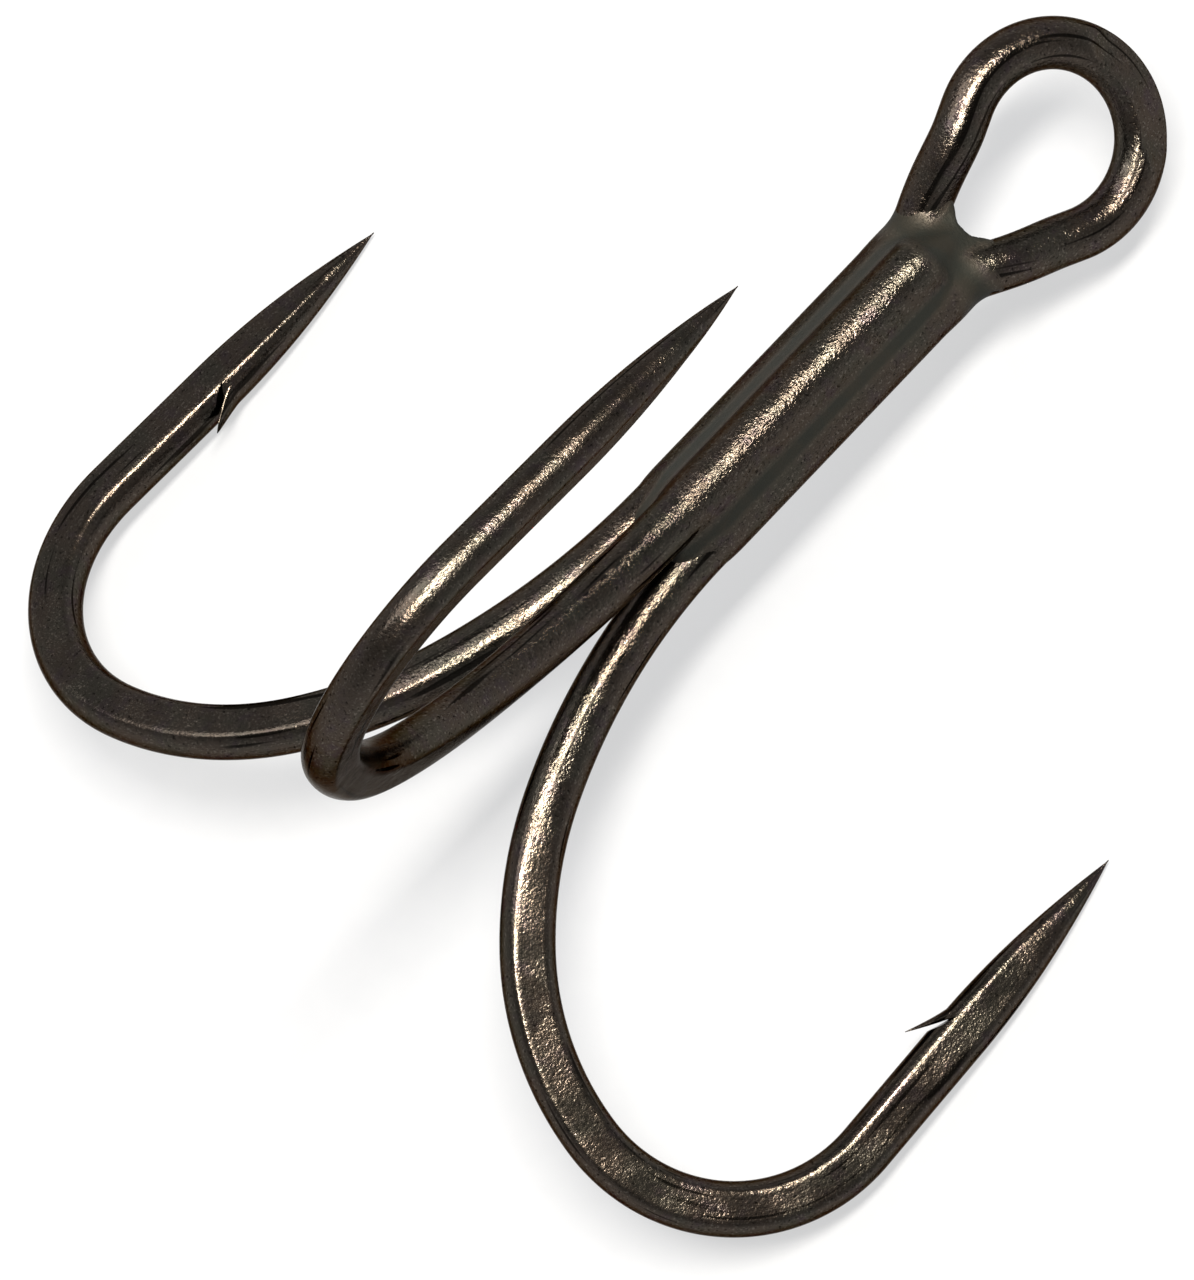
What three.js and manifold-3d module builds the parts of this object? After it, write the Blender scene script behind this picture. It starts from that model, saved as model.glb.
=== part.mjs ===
// Treble fishing hook: a double hook and a single hook, brazed together along one shank.
// The double hook is one length of wire. It runs from the left point up the shank, round the eye
// and back down to the right point. The single hook lies against it and ends below the eye.
//
// The wires are first laid out in the hook's own frame: the shank runs along +Z towards the eye,
// Z = 0 is where the wires start to flare, and the single hook points along +X.
// The last section lays the hook on the ground, as it comes to rest.

import * as THREE from "three";
import { mergeVertices } from "three/addons/utils/BufferGeometryUtils.js";
import Module from "manifold-3d";

const wasm = await Module();
wasm.setup();

// Driving dimensions, in millimetres and degrees.
const wireDiameter = 2.8;
const wireRadius = wireDiameter / 2;
const brazeFilm = 0.1; // between the single hook's shank and each wire of the double hook
const pairGap = 0.56; // between the two wires of the double hook
const brazeClearance = 0.02; // between the braze and each wire

const hookArcs = [
  { radius: 36.8, turn: 23.5 },
  { radius: 22.8, turn: 20.5 },
  { radius: 16.3, turn: 36.5 },
  { radius: 9.2, turn: 102 },
];
const pointLegLength = 19.8;
const pointTaper = 12.2;
const pointTipScale = 0.06; // radius of the tip over the radius of the wire

// Forging presses two parallel flats on the flare, bend and point leg, and widens the wire a little.
const forgedHalfThickness = 0.81 * wireRadius;
const forgedHalfWidth = 1.04 * wireRadius;
const forgingStart = 4;
const forgingFull = 16;
const forgingFadeFromTip = 8;

const barbFromTip = 11.3;
const barbReach = 2.6;
const barbRise = 0.92;
const barbHalfWidth = 0.85;
const barbHalfThickness = 0.36;
const barbNotchStart = 0.4;
const barbNotchDepth = 0.5;
const barbNotchLength = 1.4;
const barbTipRadius = 0.03;
const barbCurve = 1.2; // above 1, the spur lies flat at its root and then lifts

const eyeRadius = 5.15; // to the middle of the wire
const eyeCentreHeight = 28;
const eyeOffset = 0.28; // the eye is bent a little towards the right hook
const eyeLegHeight = 18.6; // where the two legs of the eye start to part
const eyeLegBendRadius = 4.2;
const eyeTwist = 33; // the eye's plane is turned this far from the plane of the double hook's shank
const eyeTwistStart = 19;
const eyeTwistEnd = 24.8;

const singleSeatDistance = 1.55; // from the shank's axis to the single hook's wire
const singleShankTop = 18;

const brazeBottom = -2.6;
const brazeRecess = 0.1; // each flat face lies this far below the two wires beside it
const brazeWebThickness = 2;
const brazeWebBottom = 17.8;
const brazeWebTop = 21; // bottom of the eye's opening
const brazeWebNotchRadius = 1.4;
const brazeWebNotchDepth = 0.6; // share of the radius from the bottom of the opening to the web's corners
const brazeWebHalfBottom = 2.35;
const brazeWebHalfTop = 2.85;
const brazeWebTwist = 12;
const brazeFaceInset = 0.3; // share of the spacing from each wire's middle to where a flat face starts
const brazeBeadSize = { deep: 1.3, wide: 1.5, high: 1.7 };

const restPitch = 6.5; // the eye end lies this much lower
const restRoll = 3.8;

// Each wire's seat in the shank, the direction its hook faces, how far up the shank its flare
// starts, and how far it is splayed from the nominal curve.
const pairHalfSpacing = (wireDiameter + pairGap) / 2;
const pairDepth = Math.sqrt((wireDiameter + brazeFilm) ** 2 - pairHalfSpacing ** 2);
const pairSeatX = singleSeatDistance - pairDepth;
const singleHook = { seat: [singleSeatDistance, 0.1], heading: 0.9, stagger: 0.3, splay: 2.5 };
const leftHook = { seat: [pairSeatX, -pairHalfSpacing], heading: -114, stagger: 0.4, splay: -0.8 };
const rightHook = { seat: [pairSeatX, pairHalfSpacing], heading: 106, stagger: -0.5, splay: 0.4 };

// Fineness of the solids.
const ringTurn = 7.5;
const longestRingStep = 3;
const taperRingStep = 1.2;
const roundSideSteps = 4;
const eyeBendSteps = 4;
const eyeLegSteps = 4;
const eyeRoundSteps = 12;
const barbRings = 6;
const barbSides = 8;

const { cos, sin, hypot, acos, atan2, min, max } = Math;
const radians = THREE.MathUtils.degToRad;
const { lerp, smoothstep } = THREE.MathUtils;

// ---- The section of the wire ----

// Points of the section as [across, thick]: across lies in the plane that the wire bends in, and
// thick along that plane's normal. forging goes from 0, round, to 1, pressed flat on both sides.
const creaseAngle = Math.asin(forgedHalfThickness / forgedHalfWidth);

function roundSidePoint(angle, forging) {
  const radius = lerp(wireRadius, forgedHalfWidth, forging);
  return [radius * cos(angle), radius * sin(angle)];
}

function flatSidePoint(share, forging) {
  const angle = lerp(creaseAngle, Math.PI - creaseAngle, share);
  const flatAcross = forgedHalfWidth * cos(creaseAngle) * (1 - 2 * share);
  const across = lerp(wireRadius * cos(angle), flatAcross, forging);
  const thick = lerp(wireRadius * sin(angle), forgedHalfThickness, forging);
  return [across, thick];
}

function sectionPoints(forging) {
  const half = [];
  for (let i = 0; i <= roundSideSteps; i++) {
    half.push(roundSidePoint(creaseAngle * (2 * i / roundSideSteps - 1), forging));
  }
  half.push(flatSidePoint(1 / 3, forging), flatSidePoint(2 / 3, forging));
  const otherHalf = half.map(([across, thick]) => [-across, -thick]);
  return [...half, ...otherHalf];
}

// ---- Lofting a wire through its stations ----

// A station is { centre, flatNormal, scale, forging }.
function travelDirection(stations, index) {
  const before = stations[max(index - 1, 0)].centre;
  const after = stations[min(index + 1, stations.length - 1)].centre;
  return after.clone().sub(before).normalize();
}

function ringAt(stations, index, growth) {
  const { centre, flatNormal, scale, forging } = stations[index];
  const direction = travelDirection(stations, index);
  const normal = flatNormal.clone().addScaledVector(direction, -flatNormal.dot(direction)).normalize();
  const across = normal.clone().cross(direction);
  const size = scale * (1 + growth / wireRadius);
  return sectionPoints(forging).map(([a, t]) =>
    centre.clone().addScaledVector(across, a * size).addScaledVector(normal, t * size));
}

// Closed surface through rings of points that run anticlockwise, seen from the last ring's side.
function loft(rings) {
  const positions = [];
  const index = [];
  const count = rings[0].length;
  rings.flat().forEach((point) => positions.push(point.x, point.y, point.z));
  for (let i = 0; i + 1 < rings.length; i++) {
    for (let j = 0; j < count; j++) {
      const a = i * count + j;
      const b = i * count + (j + 1) % count;
      index.push(a, b, b + count, a, b + count, a + count);
    }
  }
  const lastRing = (rings.length - 1) * count;
  for (let j = 1; j + 1 < count; j++) {
    index.push(0, j + 1, j);
    index.push(lastRing, lastRing + j, lastRing + j + 1);
  }
  const geometry = new THREE.BufferGeometry();
  geometry.setAttribute("position", new THREE.Float32BufferAttribute(positions, 3));
  geometry.setIndex(index);
  return geometry;
}

function wireGeometry(stations, growth = 0) {
  return loft(stations.map((_, index) => ringAt(stations, index, growth)));
}

// ---- Hooks: flare, bend and point leg ----

function inPlaneDirection(angle) {
  return new THREE.Vector3(cos(radians(angle)), sin(radians(angle)), 0);
}

function seatPoint(hook, height) {
  return new THREE.Vector3(hook.seat[0], hook.seat[1], height);
}

// The hook's plane normal turns with its heading. side is 1 or -1, so that the normal carries on
// smoothly through the wire of the double hook.
function hookNormal(hook, side) {
  return inPlaneDirection(hook.heading + 90 * side);
}

function forgingAt(fromFlare, fromTip) {
  const starting = smoothstep(fromFlare, forgingStart, forgingFull);
  return starting * smoothstep(fromTip, 0, forgingFadeFromTip);
}

function taperAt(fromTip) {
  const share = min(fromTip / pointTaper, 1);
  return max(1 - (1 - share) ** 2, pointTipScale);
}

const hookArcLength = hookArcs.reduce((sum, arc) => sum + arc.radius * radians(arc.turn), 0);
const hookLength = hookArcLength + pointLegLength;

// Steps along the hook's curve, from the flare to the point: a length and the turn within it.
function hookSteps() {
  const steps = [];
  for (const arc of hookArcs) {
    const arcLength = arc.radius * radians(arc.turn);
    const count = Math.ceil(max(arc.turn / ringTurn, arcLength / longestRingStep));
    for (let i = 0; i < count; i++) steps.push({ length: arcLength / count, turn: arc.turn / count });
  }
  const straight = pointLegLength - pointTaper;
  const straightCount = Math.ceil(straight / longestRingStep);
  for (let i = 0; i < straightCount; i++) steps.push({ length: straight / straightCount, turn: 0 });
  const taperCount = Math.ceil(pointTaper / taperRingStep);
  for (let i = 0; i < taperCount; i++) steps.push({ length: pointTaper / taperCount, turn: 0 });
  return steps;
}

function hookStations(hook, side) {
  const facing = inPlaneDirection(hook.heading);
  const flatNormal = hookNormal(hook, side);
  const stations = [];
  let angle = hook.splay;
  let travelled = 0;
  const centre = seatPoint(hook, hook.stagger);
  for (const { length, turn } of hookSteps()) {
    const middle = radians(angle + turn / 2);
    centre.addScaledVector(facing, length * sin(middle));
    centre.z -= length * cos(middle);
    angle += turn;
    travelled += length;
    const fromTip = hookLength - travelled;
    stations.push({
      centre: centre.clone(),
      flatNormal,
      scale: taperAt(fromTip),
      forging: forgingAt(travelled, fromTip),
    });
  }
  return stations;
}

// ---- Barbs ----

// A frame on the point leg: origin on the wire's middle, x towards the bend, y towards the shank.
function barbFrame(hook, side) {
  const stations = hookStations(hook, side);
  const tip = stations[stations.length - 1].centre;
  const towardsBend = stations[stations.length - 2].centre.clone().sub(tip).normalize();
  const origin = tip.clone().addScaledVector(towardsBend, barbFromTip);
  const normal = hookNormal(hook, side);
  const inward = normal.clone().cross(towardsBend);
  if (inward.dot(inPlaneDirection(hook.heading)) > 0) inward.negate();
  const sideways = towardsBend.clone().cross(inward);
  return new THREE.Matrix4().makeBasis(towardsBend, inward, sideways).setPosition(origin);
}

// The spur rises from inside the wire to a sharp tip that points back towards the bend.
function barbSpurGeometry() {
  const rootHeight = wireRadius - barbHalfThickness;
  const rings = [];
  for (let i = 0; i < barbRings; i++) {
    const share = i / (barbRings - 1);
    const width = barbHalfWidth * (1 - share) + barbTipRadius;
    const thickness = barbHalfThickness * (1 - share) + barbTipRadius;
    const height = lerp(rootHeight, wireRadius + barbRise, share ** barbCurve);
    const ring = [];
    for (let j = 0; j < barbSides; j++) {
      const angle = 2 * Math.PI * j / barbSides;
      ring.push(new THREE.Vector3(share * barbReach, height + thickness * cos(angle), width * sin(angle)));
    }
    rings.push(ring);
  }
  return loft(rings);
}

// The slice that lifted the spur leaves a wedge-shaped notch behind it.
function barbNotchGeometry() {
  const end = barbNotchStart + barbNotchLength;
  const outline = new THREE.Shape([
    new THREE.Vector2(barbNotchStart, wireRadius - barbNotchDepth),
    new THREE.Vector2(end, wireRadius),
    new THREE.Vector2(end, 2 * wireRadius),
    new THREE.Vector2((barbNotchStart + end) / 2, wireRadius),
  ]);
  const notch = new THREE.ExtrudeGeometry(outline, { depth: 2 * wireDiameter, bevelEnabled: false });
  return notch.translate(0, 0, -wireDiameter);
}

// ---- The eye ----

// Right half of the eye in its own plane, as [out, height], from the end of the shank to the top:
// a short outward bend, a straight leg, and the round of the eye that the leg runs into.
function eyeHalfOutline() {
  const bendCentre = pairHalfSpacing + eyeLegBendRadius;
  const rise = eyeCentreHeight - eyeLegHeight;
  const lean = atan2(rise, bendCentre) - acos((eyeRadius + eyeLegBendRadius) / hypot(bendCentre, rise));
  const outline = [];
  for (let i = 0; i <= eyeBendSteps; i++) {
    const angle = lean * i / eyeBendSteps;
    outline.push([
      bendCentre - eyeLegBendRadius * cos(angle),
      eyeLegHeight + eyeLegBendRadius * sin(angle),
    ]);
  }
  const bendEnd = outline[outline.length - 1];
  const roundStart = [eyeRadius * cos(lean), eyeCentreHeight - eyeRadius * sin(lean)];
  for (let i = 1; i < eyeLegSteps; i++) {
    const share = i / eyeLegSteps;
    outline.push([lerp(bendEnd[0], roundStart[0], share), lerp(bendEnd[1], roundStart[1], share)]);
  }
  for (let i = 0; i <= eyeRoundSteps; i++) {
    const angle = lerp(lean, -Math.PI / 2, i / eyeRoundSteps);
    outline.push([eyeRadius * cos(angle), eyeCentreHeight - eyeRadius * sin(angle)]);
  }
  return outline;
}

// Out of the plane of the double hook's shank and into the eye's own turned plane.
function eyeStation(out, height) {
  const blend = smoothstep(height, eyeTwistStart, eyeTwistEnd);
  const twist = radians(eyeTwist * blend);
  const forward = pairSeatX * (1 - blend) - out * sin(twist);
  const aside = eyeOffset * blend + out * cos(twist);
  return {
    centre: new THREE.Vector3(forward, aside, height),
    flatNormal: new THREE.Vector3(cos(twist), sin(twist), 0),
    scale: 1,
    forging: 0,
  };
}

function eyeStations() {
  const rightHalf = eyeHalfOutline();
  const leftLeg = rightHalf.map(([out, height]) => eyeStation(-out, height));
  const rightLeg = rightHalf.slice(0, -1).reverse().map(([out, height]) => eyeStation(out, height));
  return [...leftLeg, ...rightLeg];
}

// Straight stretch of shank. The normal turns evenly from the hook's plane to the eye's.
function shankStations(hook, side, top, topNormal) {
  const bottomNormal = hookNormal(hook, side);
  return [0, 1 / 3, 2 / 3].map((share) => ({
    centre: seatPoint(hook, lerp(hook.stagger, top, share)),
    flatNormal: bottomNormal.clone().lerp(topNormal, share).normalize(),
    scale: 1,
    forging: 0,
  }));
}

// ---- The three pieces of wire and metal ----

function doubleHookStations() {
  const shankNormal = new THREE.Vector3(1, 0, 0);
  const left = hookStations(leftHook, 1).reverse();
  const leftShank = shankStations(leftHook, 1, eyeLegHeight, shankNormal);
  const rightShank = shankStations(rightHook, -1, eyeLegHeight, shankNormal).reverse();
  const right = hookStations(rightHook, -1);
  return [...left, ...leftShank, ...eyeStations(), ...rightShank, ...right];
}

function singleHookStations() {
  const top = {
    centre: seatPoint(singleHook, singleShankTop),
    flatNormal: hookNormal(singleHook, 1),
    scale: 1,
    forging: 0,
  };
  const shank = shankStations(singleHook, 1, singleShankTop, top.flatNormal).reverse();
  return [top, ...shank, ...hookStations(singleHook, 1)];
}

function solidOf(geometry) {
  const plain = geometry.clone();
  plain.deleteAttribute("normal");
  plain.deleteAttribute("uv");
  const merged = mergeVertices(plain);
  return new wasm.Manifold(new wasm.Mesh({
    numProp: 3,
    vertProperties: new Float32Array(merged.attributes.position.array),
    triVerts: new Uint32Array(merged.index.array),
  }));
}

function geometryOf(solid) {
  const { vertProperties, triVerts } = solid.getMesh();
  const geometry = new THREE.BufferGeometry();
  geometry.setAttribute("position", new THREE.BufferAttribute(vertProperties, 3));
  geometry.setIndex(new THREE.BufferAttribute(triVerts, 1));
  return geometry;
}

function withBarb(wire, hook, side) {
  const place = barbFrame(hook, side);
  const notch = solidOf(barbNotchGeometry().applyMatrix4(place));
  const spur = solidOf(barbSpurGeometry().applyMatrix4(place));
  return wire.subtract(notch).add(spur);
}

function doubleHookSolid() {
  const wire = solidOf(wireGeometry(doubleHookStations()));
  return withBarb(withBarb(wire, leftHook, 1), rightHook, -1);
}

function singleHookSolid() {
  return withBarb(solidOf(wireGeometry(singleHookStations())), singleHook, 1);
}

// Three flat faces, one between each pair of wires. Its corners lie inside the wires, so only the
// metal in the valleys and along the middle is left once the wires are cut away.
function brazeBarGeometry() {
  const seats = [singleHook, rightHook, leftHook].map((hook) => new THREE.Vector2(...hook.seat));
  const outline = new THREE.Shape();
  seats.forEach((seat, i) => {
    const next = seats[(i + 1) % seats.length];
    const across = next.clone().sub(seat);
    const outward = new THREE.Vector2(across.y, -across.x).normalize();
    const lift = outward.multiplyScalar(wireRadius - brazeRecess);
    const faceStart = seat.clone().addScaledVector(across, brazeFaceInset).add(lift);
    const faceEnd = next.clone().addScaledVector(across, -brazeFaceInset).add(lift);
    if (i === 0) outline.moveTo(seat.x, seat.y);
    else outline.lineTo(seat.x, seat.y);
    outline.lineTo(faceStart.x, faceStart.y);
    outline.lineTo(faceEnd.x, faceEnd.y);
  });
  outline.closePath();
  const bar = new THREE.ExtrudeGeometry(outline, { depth: eyeLegHeight - brazeBottom, bevelEnabled: false });
  return bar.translate(0, 0, brazeBottom);
}

// Metal drawn up between the legs of the eye. Its top is the rounded bottom of the eye's opening.
function brazeWebGeometry() {
  const sideTop = brazeWebTop + brazeWebNotchDepth * brazeWebNotchRadius;
  const notchAngle = acos(1 - brazeWebNotchDepth);
  const outline = new THREE.Shape();
  outline.moveTo(-brazeWebHalfBottom, brazeWebBottom);
  outline.lineTo(brazeWebHalfBottom, brazeWebBottom);
  outline.lineTo(brazeWebHalfTop, sideTop);
  const notchCentre = brazeWebTop + brazeWebNotchRadius;
  const down = -Math.PI / 2;
  outline.absarc(0, notchCentre, brazeWebNotchRadius, down + notchAngle, down - notchAngle, true);
  outline.lineTo(-brazeWebHalfTop, sideTop);
  outline.closePath();
  const options = { depth: brazeWebThickness, bevelEnabled: false, curveSegments: 8 };
  const web = new THREE.ExtrudeGeometry(outline, options).translate(0, 0, -brazeWebThickness / 2);
  const [x, y, z] = [new THREE.Vector3(1, 0, 0), new THREE.Vector3(0, 1, 0), new THREE.Vector3(0, 0, 1)];
  web.applyMatrix4(new THREE.Matrix4().makeBasis(y, z, x));
  web.rotateZ(radians(brazeWebTwist));
  return web.translate(pairSeatX / 2, eyeOffset / 2, 0);
}

// A bead over the end of the single hook's shank.
function brazeBeadGeometry() {
  const bead = new THREE.SphereGeometry(1, 16, 12);
  bead.scale(brazeBeadSize.deep, brazeBeadSize.wide, brazeBeadSize.high);
  return bead.translate(0.5 * singleSeatDistance, 0, singleShankTop);
}

function brazeSolid() {
  const filled = [brazeBarGeometry(), brazeWebGeometry(), brazeBeadGeometry()].map(solidOf);
  const doubleWire = solidOf(wireGeometry(doubleHookStations(), brazeClearance));
  const singleWire = solidOf(wireGeometry(singleHookStations(), brazeClearance));
  const joined = filled.reduce((sum, solid) => sum.add(solid));
  const cut = joined.subtract(doubleWire).subtract(singleWire);
  return cut.decompose().sort((a, b) => b.volume() - a.volume())[0];
}

// ---- Finishes ----

function platedSteel() {
  return new THREE.MeshStandardMaterial({ color: 0x4a443c, roughness: 0.34, metalness: 0.95 });
}

function platedBraze() {
  return new THREE.MeshStandardMaterial({ color: 0x4e4f47, roughness: 0.6, metalness: 0.8 });
}

function piece(name, solid, material) {
  const mesh = new THREE.Mesh(geometryOf(solid), material);
  mesh.name = name;
  return mesh;
}

// ---- The hook at rest: shank along +X towards the eye, single hook up, on its two lower bends ----

const wires = new THREE.Group();
wires.add(piece("double_hook", doubleHookSolid(), platedSteel()));
wires.add(piece("single_hook", singleHookSolid(), platedSteel()));
wires.add(piece("braze_joint", brazeSolid(), platedBraze()));
wires.rotation.z = radians(restRoll);

const tilted = new THREE.Group();
const pitch = radians(restPitch);
const upOfSingleHook = new THREE.Vector3(sin(pitch), 0, cos(pitch));
const shankDirection = new THREE.Vector3(cos(pitch), 0, -sin(pitch));
tilted.quaternion.setFromRotationMatrix(
  new THREE.Matrix4().makeBasis(upOfSingleHook, new THREE.Vector3(0, -1, 0), shankDirection));
tilted.add(wires);

const trebleHook = new THREE.Group();
trebleHook.add(tilted);
trebleHook.updateMatrixWorld(true);
const box = new THREE.Box3().setFromObject(trebleHook, true);
const middle = box.getCenter(new THREE.Vector3());
trebleHook.position.set(-middle.x, -middle.y, -box.min.z);
trebleHook.updateMatrixWorld(true);

export default trebleHook;
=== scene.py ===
"""Looks of the treble hook: three detailed pieces in the place of the three CAD solids, a pale floor,
soft studio light and the camera. The wires repeat the part's driving dimensions and the braze
follows the wires, in millimetres, in the hook's own frame: shank along +Z to the eye, single hook
towards +X. They are then laid in the row frame, in metres."""

import math

import bmesh
import bpy
import numpy as np
from mathutils import Matrix, Vector


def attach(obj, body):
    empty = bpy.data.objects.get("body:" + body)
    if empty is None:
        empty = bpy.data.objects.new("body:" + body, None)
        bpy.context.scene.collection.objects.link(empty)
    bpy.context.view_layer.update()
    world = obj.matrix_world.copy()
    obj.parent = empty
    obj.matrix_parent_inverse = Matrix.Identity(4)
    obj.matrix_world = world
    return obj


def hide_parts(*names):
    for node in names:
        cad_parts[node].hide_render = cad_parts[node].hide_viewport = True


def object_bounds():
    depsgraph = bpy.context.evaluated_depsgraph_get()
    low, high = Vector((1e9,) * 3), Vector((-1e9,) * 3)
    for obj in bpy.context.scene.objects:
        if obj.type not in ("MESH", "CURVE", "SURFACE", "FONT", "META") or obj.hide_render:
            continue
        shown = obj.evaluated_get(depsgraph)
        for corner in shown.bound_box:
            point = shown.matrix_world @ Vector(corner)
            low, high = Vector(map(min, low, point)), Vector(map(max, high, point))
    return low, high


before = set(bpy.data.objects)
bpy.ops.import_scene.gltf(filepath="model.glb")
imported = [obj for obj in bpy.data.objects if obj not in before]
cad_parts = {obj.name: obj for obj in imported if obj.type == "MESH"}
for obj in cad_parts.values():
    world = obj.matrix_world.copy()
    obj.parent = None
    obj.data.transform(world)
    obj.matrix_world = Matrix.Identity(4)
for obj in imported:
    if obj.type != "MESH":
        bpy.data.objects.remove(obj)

CAD_BOUNDS = [list(corner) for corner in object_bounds()]
MM = 0.001

# ---- Driving dimensions, in millimetres and degrees ----
# They are the part's, apart from finer tips, more detailed barbs, flats that begin more gradually
# and the eye's pressed patch.

WIRE_RADIUS = 1.4
BRAZE_FILM = 0.1
PAIR_GAP = 0.56
HOOK_ARCS = ((36.8, 23.5), (22.8, 20.5), (16.3, 36.5), (9.2, 102.0))  # radius, turn
POINT_LEG_LENGTH = 19.8
POINT_TAPER = 12.2
POINT_TIP_SCALE = 0.02

FLAT_HALF_THICKNESS = 0.81 * WIRE_RADIUS
FORGED_HALF_WIDTH = 1.04 * WIRE_RADIUS
FORGING_START = 5.0
FORGING_FULL = 26.0
FORGING_FADE_FROM_TIP = 8.0

EYE_FLAT_FROM_TOP = 14.0  # how far round towards the right leg the pressed patch lies
EYE_FLAT_SPAN = 48.0  # half angle of the patch
EYE_FLAT_CORE = 0.6  # share of the span that is pressed to the full depth
EYE_FLAT_DEPTH = 0.36  # share of the wire's radius
EYE_FLAT_TILT = 24.0  # the patch faces this far outwards from the eye's plane
EYE_FLAT_DROP = 2.0  # how far below the eye's middle the patch may reach
EYE_WIRE_REACH = 1.3  # wire further than this many eye radii from the eye's middle isn't the eye's

BARB_FROM_TIP = 11.3
BARB_REACH = 2.6
BARB_RISE = 0.92
BARB_HALF_WIDTH = 0.85
BARB_HALF_THICKNESS = 0.36
BARB_TIP_SIZE = 0.02
BARB_WIDTH_TAPER = 0.8  # below 1 the blade narrows mostly near its tip
BARB_THICKNESS_TAPER = 0.9
BARB_CURVE = 1.2  # above 1 the blade lifts mostly near its tip
BARB_UNDERSIDE = 0.7  # the underside's bulge as a share of the back's
BARB_NOTCH_START = 0.4
BARB_NOTCH_DEPTH = 0.5
BARB_NOTCH_LENGTH = 1.4
BARB_NOTCH_CURVE = 1.1
BARB_NOTCH_HOLLOW = 0.05
BARB_NOTCH_CLEARANCE = 0.06

EYE_RADIUS = 5.15
EYE_CENTRE_HEIGHT = 28.0
EYE_OFFSET = 0.28
EYE_LEG_HEIGHT = 18.6
EYE_LEG_BEND_RADIUS = 4.2
EYE_TWIST = 33.0
EYE_TWIST_START = 19.0
EYE_TWIST_END = 24.8

SINGLE_SEAT = (1.55, 0.1)
SINGLE_SHANK_TOP = 18.0
PAIR_HALF_SPACING = WIRE_RADIUS + PAIR_GAP / 2
PAIR_SEAT_X = SINGLE_SEAT[0] - math.sqrt((2 * WIRE_RADIUS + BRAZE_FILM) ** 2 - PAIR_HALF_SPACING ** 2)

REST_PITCH = 6.5
REST_ROLL = 3.8

SINGLE_HOOK = {"seat": SINGLE_SEAT, "heading": 0.9, "stagger": 0.3, "splay": 2.5}
LEFT_HOOK = {"seat": (PAIR_SEAT_X, -PAIR_HALF_SPACING), "heading": -114.0, "stagger": 0.4, "splay": -0.8}
RIGHT_HOOK = {"seat": (PAIR_SEAT_X, PAIR_HALF_SPACING), "heading": 106.0, "stagger": -0.5, "splay": 0.4}

# ---- Fineness of the visual meshes ----

RING_SPACING = 0.22
ROUND_SIDE_POINTS = 15
FLAT_SIDE_POINTS = 9
BARB_RINGS = 26
BARB_RING_POINTS = 20
BARB_NOTCH_STEPS = 12
CREASE_BEVEL = 0.05  # share of each side beside a crease, so that the crease catches the light
WIRE_SHARP_ANGLE = 35  # degrees, sharper edges aren't smoothed
BRAZE_SHARP_ANGLE = 60

# ---- The braze, a thin skin over the shank with metal in its valleys ----

BRAZE_VOXEL = 0.11
BRAZE_BOX_LOW = (-4.2, -4.4, -4.4)
BRAZE_BOX_HIGH = (4.0, 4.8, 23.4)
SHANK_REACH = 4.5  # wire further than this from the axis, or higher than the next, has left the braze
SHANK_HIGHEST = 24.5
BRAZE_BOTTOM = -2.4
BRAZE_RECESS = 0.01  # the flat faces are nearly flush with the wires
BRAZE_END_RECESS = 0.45  # and sink between them at the lower end
BRAZE_RECESS_HEIGHTS = (-2.2, 1.2)
BRAZE_SKIN = 0.018
BRAZE_SKIN_FADE = 0.3
BRAZE_SKIN_BOTTOM = (-2.6, 0.6)  # heights between which the skin grows out of the wires
BRAZE_SKIN_TOP = (20.0, 22.8)  # heights between which it sinks back into them
WEB_TOP = 20.85
WEB_CORNER = 0.95  # height of the web's corners above the bottom of the eye's opening
WEB_NOTCH_RADIUS = 1.15
WEB_NOTCH_REACH = 1.0  # how far below the web's top the notch can cut
TONGUE_HEIGHTS = (17.0, 21.6)  # between these the front slopes from the single hook to the web
TONGUE_END_X = -0.3
TONGUE_END_SCALE = 0.54
SINGLE_END_CAP = 0.35  # the braze that covers the cut end of the single hook

# How softly the shapes of the braze run into each other.
WIRES_BLEND = 0.3
END_CAP_BLEND = 0.6
BOTTOM_BLEND = 1.2
NOTCH_BLEND = 0.3
CORNER_BLEND = 0.5
VALLEY_BLEND = 0.3
WEB_BLEND = 0.8
WEB_BLEND_HEIGHTS = (16.5, 19.0)  # between these the valleys' blend grows into the web's

LUMP_SIZE = 0.012
LUMP_RATES = (1.3, 1.1, 1.7, 0.6)  # radians per millimetre
LUMP_HEIGHTS = (15, 19)

# Where the braze is matte: in the valleys, and all round between these heights.
MATTE_DEPTH = 0.4  # metal that stands this far out of the wires is fully matte
MATTE_BEGINS = (17.2, 19.2)
MATTE_ENDS = (19.4, 21.2)


# ---- Small helpers ----

def smoothstep(value, low, high):
    share = np.clip((np.asarray(value, float) - low) / (high - low), 0, 1)
    return share * share * (3 - 2 * share)


def lerp(a, b, share):
    return a + (b - a) * share


def unit(v):
    v = np.asarray(v, float)
    return v / np.linalg.norm(v)


def in_plane(angle):
    a = math.radians(angle)
    return np.array([math.cos(a), math.sin(a), 0.0])


# ---- Centre lines: each is a list of (centre, flat normal, scale, forging) ----

def hook_normal(hook, side):
    return in_plane(hook["heading"] + 90 * side)


def hook_steps():
    steps = []
    for radius, turn in HOOK_ARCS:
        length = radius * math.radians(turn)
        count = math.ceil(length / RING_SPACING)
        steps += [(length / count, turn / count)] * count
    count = math.ceil(POINT_LEG_LENGTH / RING_SPACING)
    steps += [(POINT_LEG_LENGTH / count, 0.0)] * count
    return steps


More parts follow.
